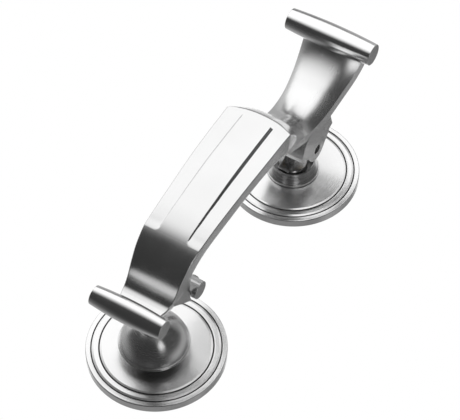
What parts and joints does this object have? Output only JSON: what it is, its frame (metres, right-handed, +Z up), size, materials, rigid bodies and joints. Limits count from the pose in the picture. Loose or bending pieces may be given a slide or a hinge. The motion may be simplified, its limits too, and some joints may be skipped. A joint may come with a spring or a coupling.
{
  "type": "door knocker, doctor's pattern",
  "caption": "Door knocker: a long S-shaped arm with round cross-bars hangs from a hinge on the upper rose and strikes the lower rose with a domed hammer.",
  "frame": {"origin": "centre of the upper rose's back, on the door's face", "axes": "+Z up the door, the front faces -Y, +X to the right seen from the front; the door's face is the plane y = 0"},
  "size_m": [0.067, 0.0775, 0.2039],
  "materials": {
    "satin_chrome": "satin chrome plate on a brass casting",
    "satin_chrome_turned": "satin chrome plate with fine turned lines",
    "steel": "plain zinc-plated",
    "brass": "plain turned"
  },
  "bodies": {
    "fixed": {"hinge_post": "satin_chrome_turned", "hinge_tongue": "satin_chrome_turned", "lower_nut": "brass", "lower_rose": "satin_chrome_turned", "lower_washer": "steel", "pin_grub_screw": "steel", "pivot_pin": "steel", "side_washer_left": "brass", "side_washer_right": "brass", "strike_plate": "satin_chrome_turned", "upper_nut": "brass", "upper_rose": "satin_chrome_turned", "upper_washer": "steel"},
    "arm": {"arm_casting": "satin_chrome", "hammer_bolt": "steel", "hammer_head": "satin_chrome_turned", "hammer_stem": "satin_chrome_turned", "lower_bar": "satin_chrome_turned", "lower_bar_screw_left": "steel", "lower_bar_screw_right": "steel", "rear_bar": "satin_chrome_turned", "rear_bar_screw_left": "steel", "rear_bar_screw_right": "steel", "top_bar": "satin_chrome_turned", "top_bar_screw_left": "steel", "top_bar_screw_right": "steel"}
  },
  "joints": [
    {"name": "arm_hinge", "type": "hinge", "parent": "fixed", "child": "arm", "pos_m": [0, -0.0244, 0.0028], "axis": [-1, 0, 0], "range_deg": [0, 65]}
  ]
}
